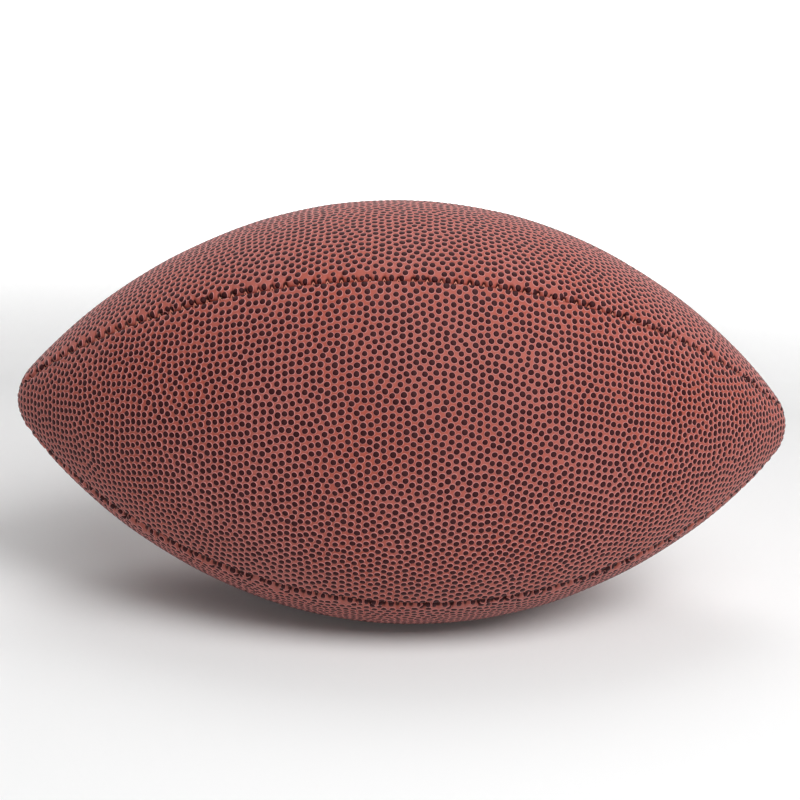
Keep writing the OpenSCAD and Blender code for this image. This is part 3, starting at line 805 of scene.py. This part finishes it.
def layPanel(name, angle, holes):
    runs, flat = panelGrid(angle)
    run = np.repeat(runs[:, None], flat.shape[1], axis=1)
    points, fold = coverSurface(angle, run.ravel(), flat.ravel())
    bpy.ops.object.select_all(action="DESELECT")
    bpy.ops.mesh.primitive_grid_add(x_subdivisions=flat.shape[1] - 1,
                                    y_subdivisions=len(runs) - 1, size=1)
    piece = bpy.context.object
    piece.name = name
    piece.data.name = name
    piece.data.vertices.foreach_set("co", (points * mm).ravel())
    piece.data.update()
    # share of painted shade in the seam, read by the leather's colour
    paint(piece, "fold", fold)
    corners = np.empty(len(piece.data.loops), dtype=np.int32)
    piece.data.loops.foreach_get("vertex_index", corners)
    places = np.stack(sheetPlace(run.ravel()[corners], flat.ravel()[corners]), axis=1)
    piece.data.uv_layers[0].data.foreach_set("uv", places.ravel())
    if holes:
        openSheet(piece, angle, holes, runs, flat)
    axis = Vector((0, 0, axisHeight * mm))
    facing = sum(face.area * face.normal.dot((face.center - axis) * Vector((0, 1, 1)))
                 for face in piece.data.polygons)
    if facing < 0:
        editAll(bpy.ops.mesh.flip_normals)
    outerFaces = len(piece.data.polygons)
    outerCount = len(piece.data.vertices)
    solid = piece.modifiers.new("thickness", "SOLIDIFY")
    solid.thickness = panel["thickness"] * mm
    solid.offset = -1
    pickOnly(piece)
    bpy.ops.object.modifier_apply(modifier=solid.name)
    clearLining(piece, outerCount)
    layer = piece.data.uv_layers[0]
    layer.name = "OFBake"
    for face in piece.data.polygons[outerFaces:]:
        for corner in face.loop_indices:
            layer.data[corner].uv.y += panel["innerShift"]
    for point in piece.data.vertices:
        point.co.x = min(max(point.co.x, -tipLimit), tipLimit)
        point.co.z = max(point.co.z, 0.0)
    mode("EDIT")
    bpy.ops.mesh.select_all(action="DESELECT")
    bpy.ops.mesh.edges_select_sharp(sharpness=panel["sharpAngle"])
    bpy.ops.mesh.mark_sharp()
    mode("OBJECT")
    piece.data.shade_smooth()
    return piece


# Pebbles: one low dome, repeated over a relaxed layout
pebble = {
    "pitch": 2.68,
    "rowRatio": 0.866,  # of a layout of even triangles
    "rowShift": 0.2,
    "jitter": 0.25,
    "tipMargin": 1.0,
    "edgeMargin": 1.6,
    "leastRadius": 3.0,  # of the ball, for a turn worked out from a distance
    "relaxSteps": 42,
    "searchEvery": 3,
    "neighbours": 8,
    "spread": 1.4,
    "push": 0.05,
    "pushLimit": 1.5,
    "shake": 0.05,  # what the relaxed places still stray
    "holeShare": 0.72,  # of an opening's clear reach that starts with no pebbles
    "pullLimit": 0.45,  # more pull than this leaves no pebble on the roll
    "rollStart": 0.2,
    "rollShare": 0.85,
    "edgeShare": 0.85,  # between how many stitches a pebble rides on the roll
    "edgeSkip": 1.5,
    "edgePairs": 0.25,
    "edgePairGap": 2.2,
    "edgeShake": 0.15,
    "edgeReach": {90: (0.0, 0.3), 180: (0.0, 0.3), 270: (0.15, 0.45)},
    "edgeTall": {90: (1.0, 1.25), 180: (1.0, 1.25), 270: (1.15, 1.45)},
    "edgeSlim": (0.8, 0.98),
    "edgeClear": 1.65,
    "crowded": 2.25,  # pebbles closer together than this are smaller
    "leastRoom": 0.6,
    "stretch": 0.035,  # how the leather is drawn out towards the seams
    "stretchPower": 6,
    "radius": 1.25,
    "sizeSpread": 0.045,
    "sizeRange": (0.86, 1.12),
    "tipFade": 7.0,  # radius of the ball below which they get smaller
    "tipSize": 0.7,
    "oval": 0.06,
    "lump": 0.03,
    "height": 0.30,
    "sides": 12,
    "shoulder": 0.80,
    "shoulderHeight": 0.72,
    "sink": -0.06,
    "tipStop": 0.2,
    "normalStep": 0.05,
    "outwardShare": (0.3, 1.0, 1.0),  # of x, y and z, in telling outward from inward
    "sheetWidth": 136.0,
    "seeds": {"front": 11, "top": 23, "back": 37, "bottom": 41},
}
farthest = tipRun - pebble["tipMargin"]


def around(run, turn):  # places in space, for finding what lies near
    x, radius = outlineAt(run, groundDrop)[:2]
    return np.stack([x, radius * np.sin(turn), radius * np.cos(turn)], axis=1)


def atLeast(radius):
    return np.maximum(radius, pebble["leastRadius"])


def firstPebbles():  # rows of a layout of triangles
    pitch = pebble["pitch"]
    runs = []
    turns = []
    for index, run in enumerate(np.arange(-farthest, farthest, pitch * pebble["rowRatio"])):
        radius = radiusAt(np.array(run))
        half = radius * math.pi / 4 + pebble["edgeMargin"]
        start = -half + pitch / 2 * (index % 2) + pitch * pebble["rowShift"]
        across = np.arange(start, half, pitch)
        runs.append(np.full(len(across), run))
        turns.append(across / radius)
    return np.concatenate(runs), np.concatenate(turns)


def layPebbles(rng, holes):
    pitch = pebble["pitch"]
    run, turn = firstPebbles()
    radius = radiusAt(run)
    run = run + rng.normal(0, pebble["jitter"] * pitch, len(run))
    turn = turn + rng.normal(0, pebble["jitter"] * pitch, len(run)) / atLeast(radius)
    run = np.clip(run, -farthest, farthest)
    radius = radiusAt(run)
    for holeRun, holeTurn, reach in holes:
        away = np.hypot(run - holeRun, (turn - holeTurn) * radius)
        clear = away >= pebble["holeShare"] * reach
        run, turn, radius = run[clear], turn[clear], radius[clear]
    for step in range(pebble["relaxSteps"]):
        radius = radiusAt(run)
        if step % pebble["searchEvery"] == 0:
            places = around(run, turn)
            tree = searchTree(places)
            near = np.array([[hit[1] for hit in tree.find_n(point, pebble["neighbours"] + 1)]
                             for point in places])[:, 1:]
        along = run[:, None] - run[near]
        across = (turn[:, None] - turn[near]) * radius[:, None]
        distance = np.hypot(along, across) + tiny
        push = np.clip(pebble["spread"] * pitch / distance - 1, 0, pebble["pushLimit"])
        push = pebble["push"] * pitch * push / distance
        run = run + (push * along).sum(1)
        turn = turn + (push * across).sum(1) / atLeast(radius)
        run = np.clip(run, -farthest, farthest)
        radius = radiusAt(run)
        limit = math.pi / 4 + pebble["edgeMargin"] / atLeast(radius)
        turn = np.clip(turn, -limit, limit)
        for holeRun, holeTurn, reach in holes:  # out of the openings
            along = run - holeRun
            across = (turn - holeTurn) * radius
            distance = np.hypot(along, across) + tiny
            push = np.where(distance < reach, reach / distance - 1, 0.0)
            run = run + push * along
            turn = turn + push * across / radius
    run = run + rng.normal(0, pebble["shake"], len(run))
    turn = turn + rng.normal(0, pebble["shake"], len(run)) / atLeast(radius)
    return run, turn


def drawnOut(flat, radius):  # the place across the panel after the leather is stretched
    share = flat / (radius * math.pi / 4)
    more = pebble["stretch"] * share ** pebble["stretchPower"]
    return flat * (1 + more) / (1 + pebble["stretch"])


def edgePebbles(angle, rng):  # one or two on the roll between each two stitches
    runs = []
    sides = []
    half = pebble["edgePairGap"] / 2
    for side in (-1.0, 1.0):
        stitches = seamStitches[(angle + side * 45) % 360]
        for first, second in zip(stitches, stitches[1:]):
            wide = second - first > pebble["edgeSkip"] * seam["pitch"]
            if wide or rng.uniform() > pebble["edgeShare"]:
                continue
            for place in [-half, half] if rng.uniform() < pebble["edgePairs"] else [0.0]:
                runs.append((first + second) / 2 + place + rng.normal(0, pebble["edgeShake"]))
                sides.append(side)
    run = np.array(runs)
    side = np.array(sides)
    edge = edgeAt(angle, side, run)
    half = edge["radius"] * math.pi / 4
    flat = edge["belly"] + rng.uniform(*pebble["edgeReach"][angle], len(run)) * edge["length"]
    steepness = 1 + pebble["stretchPower"] * pebble["stretch"]
    return run, side * (half + (flat - half) / steepness) / edge["radius"]


def roomAt(run, turn):  # share of its size that each pebble has room for
    places = around(run, turn)
    tree = searchTree(places)
    nearest = np.array([tree.find_n(point, 2)[1][2] for point in places])
    return np.clip(nearest / pebble["crowded"], pebble["leastRoom"], 1.0)


def keptPebbles(panelName, angle, holes, rng):  # places, and how tall and slim each is
    run, turn = layPebbles(rng, holes)
    radius = radiusAt(run)
    edge = edgeAt(angle, np.where(turn >= 0, 1.0, -1.0), run)
    reach = np.abs(drawnOut(turn * radius, radius))
    onRoll = reach > edge["belly"] + pebble["rollStart"]
    keep = reach < edge["belly"] + pebble["rollShare"] * edge["length"]
    keep &= ~((edge["pull"] > pebble["pullLimit"]) & onRoll)
    run, turn = run[keep], turn[keep]
    if panelName == "front":  # this panel's edge hides its own roll
        return run, turn, np.ones(len(run)), np.ones(len(run))
    rowRun, rowTurn = edgePebbles(angle, rng)
    across = (turn[:, None] - rowTurn[None, :]) * radiusAt(run)[:, None]
    apart = np.hypot(run[:, None] - rowRun[None, :], across)
    clear = apart.min(axis=1) > pebble["edgeClear"]
    plain = np.ones(clear.sum())
    tall = np.concatenate([plain, rng.uniform(*pebble["edgeTall"][angle], len(rowRun))])
    slim = np.concatenate([plain, rng.uniform(*pebble["edgeSlim"], len(rowRun))])
    return np.concatenate([run[clear], rowRun]), np.concatenate([turn[clear], rowTurn]), tall, slim


def raisePebbles(panelName, angle, holes):
    name = "pebbles_" + panelName
    rng = np.random.default_rng(pebble["seeds"][panelName])
    run, turn, tall, slim = keptPebbles(panelName, angle, holes, rng)
    radius = radiusAt(run)
    count = len(run)
    sides = pebble["sides"]
    size = rng.normal(1.0, pebble["sizeSpread"], count).clip(*pebble["sizeRange"])
    size = pebble["radius"] * size * np.clip(radius / pebble["tipFade"], pebble["tipSize"], 1.0)
    size = size * roomAt(run, turn)
    clock = np.arange(sides) / sides * math.tau
    oval = rng.uniform(0.0, pebble["oval"], count)[:, None]
    ovalTurn = rng.uniform(0, math.tau, count)[:, None]
    lump = rng.uniform(0.0, pebble["lump"], count)[:, None]
    lumpTurn = rng.uniform(0, math.tau, count)[:, None]
    form = 1 + oval * np.cos(2 * (clock - ovalTurn)) + lump * np.cos(3 * (clock - lumpTurn))
    outer = size[:, None] * form
    shares = [1.0, pebble["shoulder"]]
    centre = [np.zeros((count, 1))]
    along = [slim[:, None] * outer * share * np.cos(clock) for share in shares] + centre
    across = [tall[:, None] * outer * share * np.sin(clock) for share in shares] + centre
    lift = np.repeat([pebble["sink"], pebble["height"] * pebble["shoulderHeight"],
                      pebble["height"]], [sides, sides, 1])
    stop = tipRun - pebble["tipStop"]
    atRun = np.clip(run[:, None] + np.concatenate(along, axis=1), -stop, stop)
    atTurn = turn[:, None] + np.concatenate(across, axis=1) / radius[:, None]
    level = radiusAt(atRun)
    run, flat = atRun.ravel(), drawnOut(atTurn * level, level).ravel()
    points, fold = coverSurface(angle, run, flat)
    ahead = coverSurface(angle, run + pebble["normalStep"], flat)[0]
    aside = coverSurface(angle, run, flat + pebble["normalStep"])[0]
    normal = np.cross(ahead - points, aside - points)
    normal /= np.linalg.norm(normal, axis=1, keepdims=True) + 1e-12
    outward = (points - np.array([0, 0, axisHeight])) * np.array(pebble["outwardShare"])
    normal *= np.where((normal * outward).sum(1) < 0, -1.0, 1.0)[:, None]
    points = points + normal * np.tile(lift, count)[:, None]
    points[:, 2] = np.maximum(points[:, 2], 0.0)
    points[:, 0] = np.clip(points[:, 0], -ball["length"] / 2, ball["length"] / 2)
    ring = 2 * sides + 1
    dome = []
    for k in range(sides):
        n = (k + 1) % sides
        dome += [(k, n, sides + n), (k, sides + n, sides + k), (sides + k, sides + n, 2 * sides)]
    corners = (np.array(dome)[None] + (np.arange(count) * ring)[:, None, None]).reshape(-1, 3)
    first = points[corners[0]]
    faceNormal = np.cross(first[1] - first[0], first[2] - first[0])
    if (faceNormal * normal[0]).sum() < 0:
        corners = corners[:, ::-1]
    piece = newObject(name, points * mm, corners.tolist())
    fromCentre = np.repeat([*shares, 0.0], [sides, sides, 1])
    paint(piece, "fromCentre", np.tile(fromCentre, count))
    paint(piece, "tone", np.repeat(rng.uniform(0, 1, count), ring))
    # share of painted shade in the seam, read by the pebbles' colour
    paint(piece, "fold", fold)
    layer = piece.data.uv_layers.new(name="OFBake")
    places = np.stack([(run + tipRun) / (2 * tipRun), 0.5 + flat / pebble["sheetWidth"]], axis=1)
    layer.data.foreach_set("uv", places[corners.ravel()].ravel())
    print(name, count, "pebbles", len(corners), "triangles")
    return piece


# The lacing, on the same route as in the part's source
lacing = {
    "barCount": 8,
    "barPitch": 14.0,
    "holeRow": 13.0,
    "endHoleDistance": 9.0,
    "holeRadius": 2.85,
    "holeClear": 3.95,  # from a hole's middle to the nearest pebbles
    "width": 5.0,
    "thickness": 1.8,
    "layerGap": 0.1,
    "underFacing": 4.1,
    "bendShare": 0.25,
    "barRise": 0.75,
    "bendSteps": 6,
    "riseSteps": 6,
    "underSteps": 5,
    "strandSteps": 4,  # for each bar
    "valveDistance": 33.0,
    "valveHoleRadius": 3.3,
    "valveClear": 5.6,
    "seamReach": math.radians(44),  # holes further out lie in the seam itself
    "pebbleReach": math.radians(50),
}
laceSeam = math.radians(135)
lastBar = (lacing["barCount"] - 1) / 2 * lacing["barPitch"]
endHole = lastBar + lacing["endHoleDistance"]


def skinFrame(run, across):  # axes along, across and out, in the lace seam's own frame
    x, radius, angle = [float(v) for v in outlineAt(np.array(float(run)), 0.0)]
    slope = math.copysign(angle, run) if run else 0.0
    reach = radius / math.cos(slope)
    turn = across / reach
    along = Vector((math.cos(slope), 0, -math.sin(slope)))
    side = Vector((-math.sin(slope) * math.sin(turn), math.cos(turn),
                   -math.cos(slope) * math.sin(turn)))
    out = Vector((math.sin(slope) * math.cos(turn), math.sin(turn),
                  math.cos(slope) * math.cos(turn)))
    return along, side, out, x - reach * math.sin(slope), reach


def skinPoint(run, across, depth):
    out, x, reach = skinFrame(run, across)[2:]
    return Vector((x, 0, 0)) + (reach - depth) * out


def toBall(point):  # from the lace seam's frame to the ball's
    return Vector((point.x, diagonal * (point.y + point.z),
                   diagonal * (point.z - point.y) + axisHeight))


laceHoles = [(-lastBar + i * lacing["barPitch"], side * lacing["holeRow"])
             for i in range(lacing["barCount"]) for side in (-1, 1)]
laceHoles += [(-endHole, 0.0), (endHole, 0.0)]
valveTurn = lacing["valveDistance"] / bellyRadius
valveAxis = laceSeam + valveTurn
valveOut = Vector((0, -math.cos(valveAxis), math.sin(valveAxis)))
openings = [(toBall(skinPoint(run, across, 0.0)), lacing["holeClear"], lacing["holeRadius"])
            for run, across in laceHoles]
openings.append((Vector((0, 0, axisHeight)) + bellyRadius * valveOut,
                 lacing["valveClear"], lacing["valveHoleRadius"]))


def holesOn(angle):  # run, turn, clear reach and radius of the openings near one panel
    runs = np.linspace(-tipRun, tipRun, ball["outlineSteps"])
    places = outlineAt(runs, 0.0)[0]
    holes = []
    for centre, reach, radius in openings:
        run = float(np.interp(centre.x, places, runs))
        turn = math.atan2(centre.z - axisHeight, -centre.y) - math.radians(angle)
        turn = (turn + math.pi) % math.tau - math.pi
        if abs(turn) < lacing["pebbleReach"]:
            holes.append((run, turn, reach, radius))
    return holes


for panelName, angle in panelAngles.items():
    holes = holesOn(angle)
    inSheet = [hole for hole in holes if abs(hole[1]) < lacing["seamReach"]]
    skin = layPanel("cover_" + panelName, angle, inSheet)
    skin.data.materials.clear()
    skin.data.materials.append(coverLeather)
    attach(skin, "root")
    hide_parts("cover_panel_" + panelName)
    dots = raisePebbles(panelName, angle, [hole[:3] for hole in holes])
    dots.data.materials.append(pebbleLeather)
    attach(dots, "root")
    print("panel", panelName, len(skin.data.polygons), "faces")


# Thread that crosses each seam at every stitch
def stitchPoints(seamAngle, run, way):
    s = math.radians(seamAngle)
    points = []
    for across, depth, shift in seam["strandPlaces"]:
        x, level = [float(v) for v in outlineAt(np.array(run + shift), depth)[:2]]
        y = -level * math.cos(s) + way * across * math.sin(s)
        z = level * math.sin(s) + way * across * math.cos(s) + axisHeight
        points.append((x * mm, y * mm, z * mm, 1))
    return points


def sewSeam(seamAngle):
    name = seamNames[seamAngle]
    data = bpy.data.curves.new("thread_" + name, "CURVE")
    data.dimensions = "3D"
    data.bevel_depth = seam["strandThickness"] / 2 * mm
    data.bevel_resolution = 1
    data.use_fill_caps = True
    for row in laceRows if seamAngle == 135 else [wholeRow]:
        points = []
        for index, run in enumerate(row):
            way = 1 if index % 2 == 0 else -1  # the side that the stitch starts from
            way = {45: 1, 315: -1}.get(seamAngle, way)  # always the same at the front
            points += stitchPoints(seamAngle, run, way)
        spline = data.splines.new("POLY")
        spline.points.add(len(points) - 1)
        spline.points.foreach_set("co", np.array(points).ravel())
    pickOnly(placeObject("thread_" + name, data))
    bpy.ops.object.convert(target="MESH")
    piece = bpy.context.object
    piece.data.shade_smooth()
    piece.data.materials.clear()
    piece.data.materials.append(waxedThread)
    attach(piece, "root")
    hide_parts("seam_thread_" + name)


for seamAngle in seamNames:
    sewSeam(seamAngle)
print("seams sewn")


# The lace, as places of distance along, distance across, depth and turn
halfLace = lacing["thickness"] / 2
laceBend = halfLace + lacing["bendShare"] * lacing["thickness"]
strandDepth = -halfLace - lacing["layerGap"]
barDepth = strandDepth - lacing["thickness"] - lacing["layerGap"]
underDepth = lacing["underFacing"] + lacing["layerGap"] + halfLace
holeRow = lacing["holeRow"]
barShoulder = holeRow - laceBend
barCrest = lacing["width"] / 2 + halfLace / 2


def quarterTurn():  # how far a bend still is from its hole, and how far down it has come
    for i in range(lacing["bendSteps"] + 1):
        angle = math.pi / 2 * i / lacing["bendSteps"]
        yield laceBend * (1 - math.sin(angle)), laceBend * (1 - math.cos(angle))


def bendPlaces(run, across, side, start, end):
    return [(run, across - side * away, start + math.copysign(down, end - start), 0)
            for away, down in quarterTurn()]


def divePlaces(run, across, side):
    down = bendPlaces(run, across, side, strandDepth, underDepth)
    return down + bendPlaces(run, across, side, underDepth, strandDepth)[::-1]


def barPlaces(run):
    left = []
    start = lacing["barRise"] * barShoulder
    for i in range(lacing["riseSteps"] + 1):
        share = i / lacing["riseSteps"]
        ease = (1 - math.cos(math.pi * share)) / 2
        left.append((run, -start + (start - barCrest) * share,
                     strandDepth + (barDepth - strandDepth) * ease, 0))
    return left + [(run, 0, barDepth, 0)] + [(p[0], -p[1], p[2], p[3]) for p in left[::-1]]


def wrapPlaces(run):
    return divePlaces(run, -holeRow, -1)[::-1] + barPlaces(run) + divePlaces(run, holeRow, 1)


def strandEndPlaces(end, side):
    places = [(end * (endHole - away), 0, strandDepth + down, 90)
              for away, down in quarterTurn()]
    straight = underDepth - strandDepth - 2 * laceBend
    steps = lacing["bendSteps"] + 1
    for i in range(1, steps):
        share = i / steps
        places.append((end * endHole, 0, strandDepth + laceBend + straight * share,
                       90 - 90 * share))
    return places + bendPlaces(end * endHole, 0, -side, underDepth, strandDepth)[::-1]


def underPlaces(start, end):
    shares = [i / lacing["underSteps"] for i in range(1, lacing["underSteps"])]
    return [(start[0] + (end[0] - start[0]) * share, start[1] + (end[1] - start[1]) * share,
             underDepth, 0) for share in shares]


def laceRoute():
    firstTail = (-endHole, holeRow, underDepth, 0)
    lastTail = (-lastBar - lacing["width"] / 2, -lacing["width"], underDepth, 0)
    route = [firstTail] + underPlaces(firstTail, (-endHole, laceBend))
    route += strandEndPlaces(-1, 1)[::-1]
    steps = lacing["strandSteps"] * lacing["barCount"]
    for i in range(1, steps):
        route.append(((endHole - laceBend) * (2 * i / steps - 1), 0, strandDepth, 90))
    route += strandEndPlaces(1, -1) + underPlaces((endHole, -laceBend), (lastBar, -barShoulder))
    for i in range(lacing["barCount"] - 1, -1, -1):
        run = -lastBar + i * lacing["barPitch"]
        after = (run - lacing["barPitch"], -barShoulder) if i > 0 else lastTail
        route += wrapPlaces(run) + underPlaces((run, barShoulder), after)
    return route + [lastTail]


laceCorner = [(1.0, 0.30), (0.94, 0.72), (0.78, 0.96), (0.40, 1.0)]  # shares of half its size
laceHalf = laceCorner + [(-a, b) for a, b in laceCorner[::-1]]
laceSection = laceHalf + [(a, -b) for a, b in laceHalf[::-1]]


def makeLace():
    route = laceRoute()
    last = len(route) - 1
    centres = [skinPoint(*place[:3]) for place in route]
    points = []
    for i, place in enumerate(route):
        along, side = skinFrame(place[0], place[1])[:2]
        ahead = (centres[min(i + 1, last)] - centres[max(i - 1, 0)]).normalized()
        turn = math.radians(place[3])
        wide = math.cos(turn) * along + math.sin(turn) * side
        thick = ahead.cross(wide).normalized()
        for a, b in laceSection:
            corner = centres[i] + a * lacing["width"] / 2 * wide + b * halfLace * thick
            points.append(toBall(corner) * mm)
    sides = len(laceSection)
    faces = [tuple(range(sides))]
    for start in range(0, last * sides, sides):
        for j in range(sides):
            k = (j + 1) % sides
            faces.append((start + j, start + k, start + sides + k, start + sides + j))
    faces.append(tuple(last * sides + j for j in reversed(range(sides))))
    piece = newObject("flat_lace", points, faces)
    pickOnly(piece)
    editAll(bpy.ops.mesh.normals_make_consistent, inside=False)
    piece.data.materials.append(laceCoating)
    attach(piece, "root")
    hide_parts("lace")
    length = sum((b - a).length for a, b in zip(centres, centres[1:]))
    print("lace", round(length), "mm long")


makeLace()


# The pieces inside keep their CAD shapes and get their own finishes
innerFinishes = {
    liningWeave: ["lining_panel_front", "lining_panel_top", "lining_panel_back",
                  "lining_panel_bottom"],
    facingLeather: ["lace_facing_top", "lace_facing_back"],
    tongueFelt: ["lace_tongue"],
    bladderRubber: ["bladder", "bladder_patch"],
    valveRubber: ["valve_body", "valve_core"],
}
for material, names in innerFinishes.items():
    for name in names:
        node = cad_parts[name]
        node.data.materials.clear()
        node.data.materials.append(material)
print("inner pieces finished")
